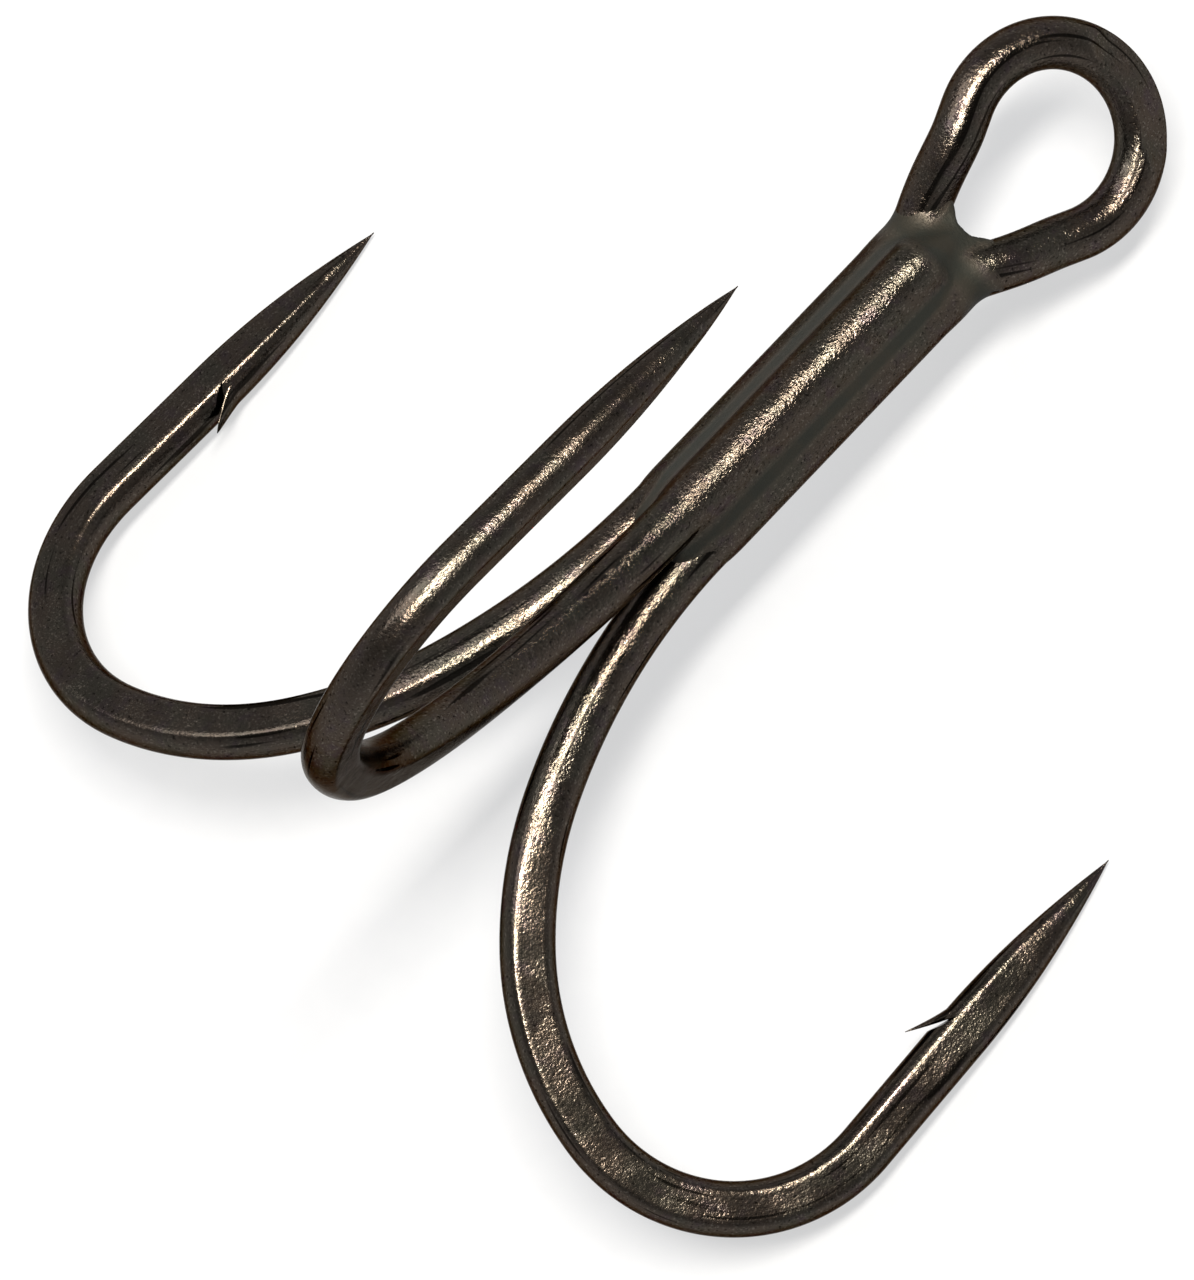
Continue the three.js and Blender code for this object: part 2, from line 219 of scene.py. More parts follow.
def hook_stations(hook, side):
    steps = hook_steps()
    whole = sum(length for length, _ in steps)
    facing = in_plane(hook["heading"])
    normal = hook_normal(hook, side)
    centre = np.array([*hook["seat"], hook["stagger"]])
    angle = hook["splay"]
    travelled = 0.0
    stations = []
    for length, turn in steps:
        middle = math.radians(angle + turn / 2)
        centre = centre + facing * length * math.sin(middle)
        centre[2] -= length * math.cos(middle)
        angle += turn
        travelled += length
        from_tip = whole - travelled
        taper = 1 - (1 - min(from_tip / POINT_TAPER, 1)) ** 2
        forging = smoothstep(travelled, FORGING_START, FORGING_FULL)
        forging = forging * smoothstep(from_tip, 0, FORGING_FADE_FROM_TIP)
        stations.append((centre.copy(), normal, max(taper, POINT_TIP_SCALE), float(forging)))
    return stations


def shank_stations(hook, side, top, top_normal):
    bottom = hook["stagger"]
    bottom_normal = hook_normal(hook, side)
    count = math.ceil((top - bottom) / RING_SPACING)
    stations = []
    for i in range(count):
        share = i / count
        centre = np.array([*hook["seat"], lerp(bottom, top, share)])
        stations.append((centre, unit(lerp(bottom_normal, top_normal, share)), 1.0, 0.0))
    return stations


def eye_half_outline():
    bend_centre = PAIR_HALF_SPACING + EYE_LEG_BEND_RADIUS
    rise = EYE_CENTRE_HEIGHT - EYE_LEG_HEIGHT
    reach = (EYE_RADIUS + EYE_LEG_BEND_RADIUS) / math.hypot(bend_centre, rise)
    lean = math.atan2(rise, bend_centre) - math.acos(reach)
    outline = []
    for angle in np.linspace(0, lean, math.ceil(lean * EYE_LEG_BEND_RADIUS / RING_SPACING)):
        outline.append((
            bend_centre - EYE_LEG_BEND_RADIUS * math.cos(angle),
            EYE_LEG_HEIGHT + EYE_LEG_BEND_RADIUS * math.sin(angle),
        ))
    start = np.array(outline[-1])
    end = np.array([EYE_RADIUS * math.cos(lean), EYE_CENTRE_HEIGHT - EYE_RADIUS * math.sin(lean)])
    for share in np.linspace(0, 1, math.ceil(np.linalg.norm(end - start) / RING_SPACING))[1:-1]:
        outline.append(tuple(lerp(start, end, share)))
    turn = lean + math.pi / 2
    for angle in np.linspace(lean, -math.pi / 2, math.ceil(turn * EYE_RADIUS / RING_SPACING)):
        outline.append((
            EYE_RADIUS * math.cos(angle),
            EYE_CENTRE_HEIGHT - EYE_RADIUS * math.sin(angle),
        ))
    return outline


def eye_station(out, height):
    blend = float(smoothstep(height, EYE_TWIST_START, EYE_TWIST_END))
    twist = math.radians(EYE_TWIST * blend)
    centre = np.array([
        PAIR_SEAT_X * (1 - blend) - out * math.sin(twist),
        EYE_OFFSET * blend + out * math.cos(twist),
        height,
    ])
    return centre, np.array([math.cos(twist), math.sin(twist), 0.0]), 1.0, 0.0


def double_hook_stations():
    forward = np.array([1.0, 0.0, 0.0])
    outline = eye_half_outline()
    left = hook_stations(LEFT_HOOK, 1)[::-1] + shank_stations(LEFT_HOOK, 1, EYE_LEG_HEIGHT, forward)
    left_leg = [eye_station(-out, height) for out, height in outline]
    right_leg = [eye_station(out, height) for out, height in outline[-2::-1]]
    right_shank = shank_stations(RIGHT_HOOK, -1, EYE_LEG_HEIGHT, forward)[::-1]
    return left + left_leg + right_leg + right_shank + hook_stations(RIGHT_HOOK, -1)


def single_hook_stations():
    normal = hook_normal(SINGLE_HOOK, 1)
    shank = shank_stations(SINGLE_HOOK, 1, SINGLE_SHANK_TOP, normal)[::-1]
    return shank + hook_stations(SINGLE_HOOK, 1)


# ---- Meshes of the wires ----

def section_points(forging):
    """Closed section as rows of (across, thick); creases between its round and flat sides."""
    crease = math.asin(FLAT_HALF_THICKNESS / FORGED_HALF_WIDTH)
    radius = lerp(WIRE_RADIUS, FORGED_HALF_WIDTH, forging)
    edge = CREASE_BEVEL
    half = []
    for share in np.linspace(edge, 1 - edge, ROUND_SIDE_POINTS):
        angle = crease * (2 * share - 1)
        half.append((radius * math.cos(angle), radius * math.sin(angle)))
    for share in np.linspace(edge, 1 - edge, FLAT_SIDE_POINTS):
        angle = lerp(crease, math.pi - crease, share)
        flat = (FORGED_HALF_WIDTH * math.cos(crease) * (1 - 2 * share), FLAT_HALF_THICKNESS)
        round_point = (WIRE_RADIUS * math.cos(angle), WIRE_RADIUS * math.sin(angle))
        half.append((lerp(round_point[0], flat[0], forging), lerp(round_point[1], flat[1], forging)))
    half = np.array(half)
    return np.vstack([half, -half])


def wire_rings(stations):
    centres = np.array([s[0] for s in stations])
    directions = np.gradient(centres, axis=0)
    rings = []
    for (centre, normal, scale, forging), direction in zip(stations, directions):
        direction = unit(direction)
        normal = unit(normal - direction * normal.dot(direction))
        across = np.cross(normal, direction)
        points = section_points(forging) * scale
        rings.append(centre + points[:, :1] * across + points[:, 1:] * normal)
    return np.array(rings)


def press_eye(rings, stations):
    """Presses a flat patch into the eye's front, over the top, as the photo shows."""
    centre = eye_station(0.0, EYE_CENTRE_HEIGHT)[0]
    rightwards = unit(eye_station(1.0, EYE_CENTRE_HEIGHT)[0] - centre)
    lowest = EYE_CENTRE_HEIGHT - EYE_FLAT_DROP
    furthest = EYE_WIRE_REACH * EYE_RADIUS
    for ring, (middle, normal, _, _) in zip(rings, stations):
        outward = middle - centre
        if middle[2] < lowest or np.linalg.norm(outward) > furthest:
            continue
        outward = unit(outward)
        angle = math.degrees(math.atan2(outward.dot(rightwards), outward[2]))
        from_middle = abs(angle - EYE_FLAT_FROM_TOP)
        window = 1 - float(smoothstep(from_middle, EYE_FLAT_CORE * EYE_FLAT_SPAN, EYE_FLAT_SPAN))
        tilt = math.radians(EYE_FLAT_TILT)
        facing = normal * math.cos(tilt) + outward * math.sin(tilt)
        height = (ring - middle) @ facing
        limit = WIRE_RADIUS * (1 - EYE_FLAT_DEPTH * window)
        ring -= np.maximum(height - limit, 0)[:, None] * facing


def loft(rings):
    """Vertices and faces of a closed tube through rings, with a fan to a point at each end."""
    count, sides = rings.shape[:2]
    verts = np.vstack([rings.reshape(-1, 3), rings[0].mean(0), rings[-1].mean(0)])
    faces = []
    for i in range(count - 1):
        for j in range(sides):
            a, b = i * sides + j, i * sides + (j + 1) % sides
            faces.append((a, b, b + sides, a + sides))
    first, last = count * sides, count * sides + 1
    for j in range(sides):
        k = (j + 1) % sides
        faces.append((first, k, j))
        faces.append((last, (count - 1) * sides + j, (count - 1) * sides + k))
    return verts, faces


def new_mesh_object(name, verts, faces):
    mesh = bpy.data.meshes.new(name)
    mesh.from_pydata([tuple(v) for v in verts], [], faces)
    mesh.validate()
    obj = bpy.data.objects.new(name, mesh)
    bpy.context.scene.collection.objects.link(obj)
    return obj


# ---- Barbs ----

def barb_frame(hook, side):
    """Origin on the wire's middle, x towards the bend, y towards the shank, z along the flats' normal."""
    stations = hook_stations(hook, side)
    tip = stations[-1][0]
    towards_bend = unit(stations[-2][0] - tip)
    inward = np.cross(hook_normal(hook, side), towards_bend)
    if inward.dot(in_plane(hook["heading"])) > 0:
        inward = -inward
    sideways = np.cross(towards_bend, inward)
    return np.array([towards_bend, inward, sideways]), tip + towards_bend * BARB_FROM_TIP


def barb_spur():
    """A thin blade sliced up from the wire: wide and flat at its root, sharp at its tip."""
    rings = []
    root = WIRE_RADIUS - BARB_HALF_THICKNESS
    turns = np.linspace(0, 2 * math.pi, BARB_RING_POINTS, endpoint=False)
    # Rounded above, flatter below, as a knife leaves it.
    up = np.where(np.cos(turns) > 0, np.cos(turns), BARB_UNDERSIDE * np.cos(turns))
    for i in range(BARB_RINGS):
        share = i / (BARB_RINGS - 1)
        width = BARB_HALF_WIDTH * (1 - share) ** BARB_WIDTH_TAPER + BARB_TIP_SIZE
        thickness = BARB_HALF_THICKNESS * (1 - share) ** BARB_THICKNESS_TAPER + BARB_TIP_SIZE
        height = lerp(root, WIRE_RADIUS + BARB_RISE, share ** BARB_CURVE)
        ring = np.stack([
            np.full(BARB_RING_POINTS, share * BARB_REACH),
            height + thickness * up,
            width * np.sin(turns),
        ], axis=1)
        rings.append(ring)
    return loft(np.array(rings))


def barb_notch():
    """The wedge cut away behind the spur, with a slightly hollow floor."""
    end = BARB_NOTCH_START + BARB_NOTCH_LENGTH
    floor = []
    for share in np.linspace(0, 1, BARB_NOTCH_STEPS):
        hollow = -BARB_NOTCH_HOLLOW * math.sin(math.pi * share)
        depth = BARB_NOTCH_DEPTH * (1 - share) ** BARB_NOTCH_CURVE
        height = WIRE_RADIUS - depth + hollow + BARB_NOTCH_CLEARANCE * share
        floor.append((lerp(BARB_NOTCH_START, end, share), height))
    middle = (BARB_NOTCH_START + end) / 2
    top = [(end, 2 * WIRE_RADIUS), (middle, WIRE_RADIUS + BARB_NOTCH_CLEARANCE)]
    outline = floor + top
    sides = (-2 * WIRE_RADIUS, 2 * WIRE_RADIUS)
    rings = np.array([[(x, y, z) for x, y in outline] for z in sides])
    return loft(rings)


def boolean(obj, tool_verts, tool_faces, operation):
    tool = new_mesh_object("tool", tool_verts, tool_faces)
    recalculate_normals(tool)
    modifier = obj.modifiers.new("cut", "BOOLEAN")
    modifier.operation = operation
    modifier.solver = "EXACT"
    modifier.object = tool
    bpy.context.view_layer.update()
    depsgraph = bpy.context.evaluated_depsgraph_get()
    made = bpy.data.meshes.new_from_object(obj.evaluated_get(depsgraph))
    obj.modifiers.clear()
    obj.data = made
    bpy.data.objects.remove(tool)


def recalculate_normals(obj):
    bm = bmesh.new()
    bm.from_mesh(obj.data)
    bmesh.ops.recalc_face_normals(bm, faces=bm.faces)
    bm.to_mesh(obj.data)
    bm.free()


def cut_barb(obj, hook, side):
    axes, origin = barb_frame(hook, side)
    for (verts, faces), operation in ((barb_notch(), "DIFFERENCE"), (barb_spur(), "UNION")):
        boolean(obj, verts @ axes + origin, faces, operation)


# ---- The braze as a field: negative inside the metal, in millimetres ----

def soft_min(a, b, radius):
    share = np.clip(0.5 + 0.5 * (b - a) / radius, 0, 1)
    return lerp(b, a, share) - radius * share * (1 - share)


def soft_max(a, b, radius):
    return -soft_min(-a, -b, radius)


def centre_at(stations, heights):
    """Where a wire's middle is at each height, and how fast it moves sideways there."""
    points = np.array([s[0] for s in stations])
    points = points[np.argsort(points[:, 2])]
    x = np.interp(heights, points[:, 2], points[:, 0])
    y = np.interp(heights, points[:, 2], points[:, 1])
    return x, y, np.gradient(x, heights), np.gradient(y, heights)


def segment_distance(x, y, ax, ay, bx, by):
    dx, dy = bx - ax, by - ay
    share = np.clip(((x - ax) * dx + (y - ay) * dy) / (dx * dx + dy * dy), 0, 1)
    return np.hypot(x - ax - share * dx, y - ay - share * dy)


def triangle_distance(x, y, corners):
    distance = None
    inside = np.ones(x.shape, bool)
    for (ax, ay), (bx, by) in zip(corners, corners[1:] + corners[:1]):
        edge = segment_distance(x, y, ax, ay, bx, by)
        distance = edge if distance is None else np.minimum(distance, edge)
        inside &= (bx - ax) * (y - ay) - (by - ay) * (x - ax) > 0
    return np.where(inside, -distance, distance)


def near_shank(stations):
    return [s for s in stations if math.hypot(s[0][0], s[0][1]) < SHANK_REACH and s[0][2] < SHANK_HIGHEST]


def wire_distance(x, y, place, radius):
    """Distance from the surface of a wire that leans as place says."""
    dx, dy = x - place[0], y - place[1]
    along = dx * place[2] + dy * place[3]
    steepness = 1 + place[2] ** 2 + place[3] ** 2
    return np.sqrt(np.maximum(dx ** 2 + dy ** 2 - along ** 2 / steepness, 0)) - radius


def skin_radius(z):
    """The wires' radius with the skin of braze, which sinks into the wires at both ends."""
    skin = BRAZE_SKIN * smoothstep(z, *BRAZE_SKIN_BOTTOM) * (1 - smoothstep(z, *BRAZE_SKIN_TOP))
    fade = (1 - smoothstep(z, *BRAZE_SKIN_BOTTOM)) + smoothstep(z, *BRAZE_SKIN_TOP)
    return WIRE_RADIUS + skin - BRAZE_SKIN_FADE * fade


def valley_metal(x, y, z, left, right, single):
    """A three-cornered bar between the wires, whose front slopes down to the web under the eye."""
    sinking = smoothstep(z, *TONGUE_HEIGHTS)
    front_x = lerp(SINGLE_SEAT[0], TONGUE_END_X, sinking)
    front_y = lerp(SINGLE_SEAT[1], EYE_OFFSET / 2, sinking)
    front = (np.where(z < 0, single[0], front_x), np.where(z < 0, single[1], front_y))
    recess = lerp(BRAZE_END_RECESS, BRAZE_RECESS, smoothstep(z, *BRAZE_RECESS_HEIGHTS))
    bar = triangle_distance(x, y, [front, right[:2], left[:2]])
    bar = bar - WIRE_RADIUS * lerp(1, TONGUE_END_SCALE, sinking) + recess
    return soft_max(bar, BRAZE_BOTTOM - z, BOTTOM_BLEND)


def cut_web(bar, x, y, z, left, right):
    """Rounds the bar's top off, under the eye's opening and between the eye's legs."""
    web_middle = ((left[0] + right[0]) / 2, (left[1] + right[1]) / 2)
    aside = np.hypot(x - web_middle[0], y - web_middle[1])
    notch_height = np.minimum(z - WEB_TOP - WEB_NOTCH_RADIUS, 0)
    notch = WEB_NOTCH_RADIUS - np.hypot(aside, notch_height)
    uncut = -1.0
    bar = soft_max(bar, np.where(z > WEB_TOP - WEB_NOTCH_REACH, notch, uncut), NOTCH_BLEND)
    return soft_max(bar, z - WEB_TOP - WEB_CORNER, CORNER_BLEND)


def lumps(x, y, z):
    a, b, c, d = LUMP_RATES
    return LUMP_SIZE * np.sin(a * z + b * x) * np.sin(c * y + d * z)


def braze_field(x, y, z, heights):
    """The braze's field, and the distance from the wires alone."""
    double = double_hook_stations()
    middle = len(double) // 2
    left = centre_at(near_shank(double[:middle]), heights)
    right = centre_at(near_shank(double[middle:]), heights)
    single = centre_at(near_shank(single_hook_stations()), heights)
    bar = cut_web(valley_metal(x, y, z, left, right, single), x, y, z, left, right)

    radius = skin_radius(z)
    left_wire = wire_distance(x, y, left, radius)
    right_wire = wire_distance(x, y, right, radius)
    above_end = z - SINGLE_SHANK_TOP - SINGLE_END_CAP
    single_wire = soft_max(wire_distance(x, y, single, radius), above_end, END_CAP_BLEND)
    from_wires = np.minimum(np.minimum(left_wire, right_wire), single_wire)
    field = soft_min(soft_min(left_wire, right_wire, WIRES_BLEND), single_wire, WIRES_BLEND)
    blend = lerp(VALLEY_BLEND, WEB_BLEND, smoothstep(z, *WEB_BLEND_HEIGHTS))
    field = soft_min(field, bar, blend)
    field = field + lumps(x, y, z) * smoothstep(z, *LUMP_HEIGHTS)
    return field, from_wires


def surface_net(field, origin, spacing):
    """Vertices and quads where a sampled field changes sign."""
    inside = field < 0
    cells = np.zeros(tuple(n - 1 for n in field.shape), int)
    total = np.zeros(cells.shape + (3,))
    crossings = np.zeros(cells.shape)
    corners = [(i, j, k) for i in (0, 1) for j in (0, 1) for k in (0, 1)]

    def at(array, corner):
        window = tuple(slice(c, c + n) for c, n in zip(corner, cells.shape))
        return array[window]

    for corner in corners:
        for axis in range(3):
            if corner[axis]:
                continue
            other = tuple(c + (1 if a == axis else 0) for a, c in enumerate(corner))
            f0, f1 = at(field, corner), at(field, other)
            crossed = at(inside, corner) != at(inside, other)
            share = np.where(crossed, f0 / np.where(crossed, f0 - f1, 1), 0)
            point = np.stack([np.full(cells.shape, float(c)) for c in corner], -1)
            point[..., axis] += share
            total += point * crossed[..., None]
            crossings += crossed
    used = crossings > 0
    cells[used] = np.arange(used.sum())
    index = np.argwhere(used)
    verts = origin + (index + total[used] / crossings[used][:, None]) * spacing
    faces = []
    for axis in range(3):
        before = tuple(slice(0, -1) if a == axis else slice(1, -1) for a in range(3))
        after = tuple(slice(1, None) if a == axis else slice(1, -1) for a in range(3))
        changed = np.argwhere(inside[before] != inside[after])
        offset = np.array([0 if a == axis else 1 for a in range(3)])
        at_edge = changed + offset
        b, c = [(1, 2), (2, 0), (0, 1)][axis]
        quad = []
        for db, dc in ((1, 1), (0, 1), (0, 0), (1, 0)):
            place = at_edge.copy()
            place[:, b] -= db
            place[:, c] -= dc
            quad.append(cells[tuple(place.T)])
        quad = np.stack(quad, 1)
        starts_inside = inside[tuple(at_edge.T)]
        quad[~starts_inside] = quad[~starts_inside][:, ::-1]
        faces.append(quad)
    return verts, np.vstack(faces)


def braze_mesh():
    """Vertices and quads of the braze, and how matte each vertex is, from 0 to 1."""
    low, high = np.array(BRAZE_BOX_LOW), np.array(BRAZE_BOX_HIGH)
    axes = [np.arange(a, b, BRAZE_VOXEL) for a, b in zip(low, high)]
    x, y, z = np.meshgrid(*axes, indexing="ij")
    field, from_wires = braze_field(x, y, z, axes[2])
    verts, quads = surface_net(field, low, BRAZE_VOXEL)
    nearest = np.clip(np.rint((verts - low) / BRAZE_VOXEL).astype(int), 0, np.array(field.shape) - 1)
    proud = (from_wires - field)[tuple(nearest.T)]
    height = verts[:, 2]
    in_valleys = smoothstep(proud, 0.0, MATTE_DEPTH)
    under_eye = smoothstep(height, *MATTE_BEGINS) * (1 - smoothstep(height, *MATTE_ENDS))
    return verts, [tuple(int(i) for i in q) for q in quads], np.maximum(in_valleys, under_eye)


def keep_largest_part(obj):
    """Drops loose specks, so that the braze is one closed piece."""
    bm = bmesh.new()
    bm.from_mesh(obj.data)
    seen, parts = set(), []
    for start in bm.verts:
        if start.index in seen:
            continue
        part, queue = [], [start]
        seen.add(start.index)
        while queue:
            v = queue.pop()
            part.append(v)
            for e in v.link_edges:
                w = e.other_vert(v)
                if w.index not in seen:
                    seen.add(w.index)
                    queue.append(w)
        parts.append(part)
    parts.sort(key=len)
    for part in parts[:-1]:
        bmesh.ops.delete(bm, geom=part, context="VERTS")
    bmesh.ops.recalc_face_normals(bm, faces=bm.faces)
    bm.to_mesh(obj.data)
    bm.free()


# ---- Laying the pieces in the row frame ----

POINTS_AT_ONCE = 4000  # keeps the search for the nearest station small


def rest_matrix():
    """The hook's lie on the floor: on two bends and the eye."""
    pitch, roll = math.radians(REST_PITCH), math.radians(REST_ROLL)
    tilt = np.array([
        [math.sin(pitch), 0, math.cos(pitch)],
        [0, -1, 0],
        [math.cos(pitch), 0, -math.sin(pitch)],
    ]).T
    turn = np.array([
        [math.cos(roll), -math.sin(roll), 0],
        [math.sin(roll), math.cos(roll), 0],
        [0, 0, 1],
    ])
    return tilt @ turn


def rest_shift(wires):
    """Moves the hook so that it stands in the middle of the CAD model's box."""
    corners = np.array(CAD_BOUNDS)
    placed = np.vstack(wires) @ rest_matrix().T * MM
    low, high = placed.min(0), placed.max(0)
    shift = corners.mean(0) - (low + high) / 2
    shift[2] = corners[0][2] - low[2]
    return shift


def wire_coordinates(points, stations):
    """How far along the wire each point is, its angle round the wire, and how forged the wire is there."""
    centres = np.array([s[0] for s in stations])
    normals = np.array([s[1] for s in stations])
    forging = np.array([s[3] for s in stations])
    steps = np.linalg.norm(np.diff(centres, axis=0), axis=1)
    travelled = np.concatenate([[0], np.cumsum(steps)])
    directions = np.gradient(centres, axis=0)
    along = np.empty(len(points))
    around = np.empty(len(points))
    forged = np.empty(len(points))
    for start in range(0, len(points), POINTS_AT_ONCE):
        part = slice(start, start + POINTS_AT_ONCE)
        nearest = ((points[part][:, None] - centres[None]) ** 2).sum(-1).argmin(1)
        d = directions[nearest] / np.linalg.norm(directions[nearest], axis=1)[:, None]
        n = normals[nearest]
        offset = points[part] - centres[nearest]
        across = np.cross(n, d)
        along[part] = travelled[nearest] + (offset * d).sum(1)
        around[part] = np.arctan2((offset * n).sum(1), (offset * across).sum(1))
        forged[part] = forging[nearest]
    return along, around, forged


def store(obj, name, values):
    attribute = obj.data.attributes.new(name, "FLOAT", "POINT")
    attribute.data.foreach_set("value", np.asarray(values, np.float32))


def lay(obj, shift):
    co = np.empty(len(obj.data.vertices) * 3)
    obj.data.vertices.foreach_get("co", co)
    placed = co.reshape(-1, 3) @ rest_matrix().T * MM + shift
    obj.data.vertices.foreach_set("co", placed.ravel())
    obj.data.update()


def shade(obj, sharp_angle):
    obj.data.polygons.foreach_set("use_smooth", [True] * len(obj.data.polygons))
    obj.data.set_sharp_from_angle(angle=math.radians(sharp_angle))


# ---- Materials ----

# Widths of the marks in the plating, and depths of its relief, in millimetres.
SPECK_SIZE = 0.13
STREAK_SIZE = 0.16
PIT_SIZE = 0.2
DRAW_LINE_SIZE = 0.42
DENT_SIZE = 0.9
PURPLE_SIZE = 1.3
BRAZE_BLOTCH_SIZE = 1.8
PATCH_SIZE = 2.2
OLIVE_SIZE = 3.2
PIT_DEPTH = 0.08
BRAZE_PIT_DEPTH = 0.11
STREAK_DEPTH = 0.015
DENT_DEPTH = 0.02

STREAK_SLIMNESS = 0.05  # the width of a streak or draw line as a share of its length
DRAW_LINE_LAYER = 0.004  # metres, another layer of the noise than the streaks take
PLATING_ROUGHNESS = (0.16, 0.21)
STREAK_ROUGHNESS = 0.05
MATTE_ROUGHNESS = 0.6
THIN_BRAZE_ROUGHNESS = 0.2
MATTE_METALLIC = 0.4
MATTE_SPECULAR = 0.25
FLAT_RELIEF = 0.6  # share of the pits that the forging leaves on the flats
MATTE_RELIEF = 0.6

DARK_PIT = (0.007, 0.006, 0.005, 1)
WARM_PLATING = (0.055, 0.044, 0.036, 1)
OLIVE_PLATING = (0.049, 0.044, 0.036, 1)
PURPLE_PLATING = (0.050, 0.039, 0.039, 1)
PALE_SPECK = (0.115, 0.100, 0.085, 1)
GRAZING_SHADE_TINT = (0.35, 0.33, 0.31, 1)  # painted shade: tints the plating's reflections dark at grazing angles, so that its edges look shaded
MATTE_GREY = (0.014, 0.015, 0.013, 1)
MATTE_BROWN = (0.0175, 0.0165, 0.0135, 1)
CARD = (0.124, 0.130, 0.143, 1)
CARD_FIBRE = (0.129, 0.135, 0.148, 1)
FIBRE_SIZE = 1.5
CARD_GLOW = 0.58  # stands for the light that the white room throws on the card


class Nodes:
    """Short names for the few node kinds that the materials use."""

    def __init__(self, name):
        self.material = bpy.data.materials.new(name)
        self.material.use_nodes = True
        self.tree = self.material.node_tree
        self.shader = self.tree.nodes["Principled BSDF"]

    def link(self, socket, value):
        if isinstance(value, bpy.types.NodeSocket):
            self.tree.links.new(value, socket)
        else:
            socket.default_value = value

    def add(self, kind, **inputs):
        node = self.tree.nodes.new(kind)
        for name, value in inputs.items():
            self.link(node.inputs[name.replace("_", " ")], value)
        return node

    def math(self, operation, a, b=0.0):
        node = self.tree.nodes.new("ShaderNodeMath")
        node.operation = operation
        self.link(node.inputs[0], a)
        self.link(node.inputs[1], b)
        return node.outputs[0]

    def spread(self, value, low, high, to_low=0.0, to_high=1.0):
        node = self.add("ShaderNodeMapRange", Value=value)
        node.interpolation_type = "SMOOTHSTEP"
        for name, number in (("From Min", low), ("From Max", high), ("To Min", to_low), ("To Max", to_high)):
            node.inputs[name].default_value = number
        return node.outputs[0]

    def mix(self, share, a, b):
        node = self.tree.nodes.new("ShaderNodeMix")
        node.data_type = "RGBA"
        self.link(node.inputs["Factor"], share)
        self.link(node.inputs["A"], a)
        self.link(node.inputs["B"], b)
        return node.outputs["Result"]

    def place(self):
        return self.add("ShaderNodeTexCoord").outputs["Object"]

    def noise(self, vector, size, detail=3.0, rough=0.55):
        """size is the width of one blotch, in millimetres."""
        node = self.add("ShaderNodeTexNoise", Vector=vector, Scale=1 / (size * MM), Detail=detail)
        node.inputs["Roughness"].default_value = rough
        return node.outputs["Fac"]

    def attribute(self, name):
        node = self.tree.nodes.new("ShaderNodeAttribute")
        node.attribute_name = name
        return node.outputs["Fac"]

    def combine(self, x, y, z):
        node = self.add("ShaderNodeCombineXYZ")
        for socket, value in zip(node.inputs, (x, y, z)):
            self.link(socket, value)
        return node.outputs[0]

    def bump(self, height, distance, strength, normal=None):
        node = self.add("ShaderNodeBump", Height=height)
        node.inputs["Distance"].default_value = distance * MM
        node.inputs["Strength"].default_value = strength
        if normal is not None:
            self.link(node.inputs["Normal"], normal)
        return node.outputs[0]


def plating(n, place):
    """Colour, roughness and relief of black nickel: brown that drifts to olive and purple, finely pitted."""
    pits = n.noise(place, PIT_SIZE, 2.0, 0.7)
    colour = n.mix(n.spread(n.noise(place, OLIVE_SIZE, 2.0), 0.42, 0.62), WARM_PLATING, OLIVE_PLATING)
    colour = n.mix(n.spread(n.noise(place, PURPLE_SIZE, 3.0), 0.5, 0.72), colour, PURPLE_PLATING)
    colour = n.mix(n.math("MULTIPLY", n.spread(pits, 0.42, 0.30), 0.85), colour, DARK_PIT)
    specks = n.spread(n.noise(place, SPECK_SIZE, 1.0, 0.5), 0.58, 0.72)
    colour = n.mix(n.math("MULTIPLY", specks, 0.8), colour, PALE_SPECK)
    patch = n.noise(place, PATCH_SIZE, 2.0)
    roughness = n.spread(patch, 0.35, 0.65, *PLATING_ROUGHNESS)
    relief = n.math("MULTIPLY", pits, n.spread(patch, 0.4, 0.62, 0.55, 1.0))
    return colour, roughness, relief


def plated_wire_material():
    """Black nickel over drawn wire: dark bronze with faint streaks and a few dark lines along the wire."""
    n = Nodes("black_nickel_wire")
    place = n.place()
    along = n.math("MULTIPLY", n.attribute("along"), STREAK_SLIMNESS * MM)
    around = n.math("MULTIPLY", n.attribute("around"), WIRE_RADIUS * MM)
    streaks = n.noise(n.combine(along, around, 0.0), STREAK_SIZE, 2.0)
    lines = n.spread(n.noise(n.combine(along, around, DRAW_LINE_LAYER), DRAW_LINE_SIZE, 1.0), 0.37, 0.30)
    colour, roughness, relief = plating(n, place)
    n.link(n.shader.inputs["Base Color"], n.mix(n.math("MULTIPLY", lines, 0.9), colour, DARK_PIT))
    n.shader.inputs["Metallic"].default_value = 1.0
    # Painted shade: the reflections at the wire's edges are tinted dark.
    n.shader.inputs["Specular Tint"].default_value = GRAZING_SHADE_TINT
    streak_roughness = n.math("MULTIPLY", streaks, STREAK_ROUGHNESS)
    n.link(n.shader.inputs["Roughness"], n.math("ADD", roughness, streak_roughness))
    relief = n.math("MULTIPLY", relief, n.spread(n.attribute("forged"), 0.2, 1.0, 1.0, FLAT_RELIEF))
    marks = n.bump(streaks, STREAK_DEPTH, 0.5, n.bump(relief, PIT_DEPTH, 0.7))
    n.link(n.shader.inputs["Normal"], n.bump(n.noise(place, DENT_SIZE, 2.0), DENT_DEPTH, 0.5, marks))
    return n.material


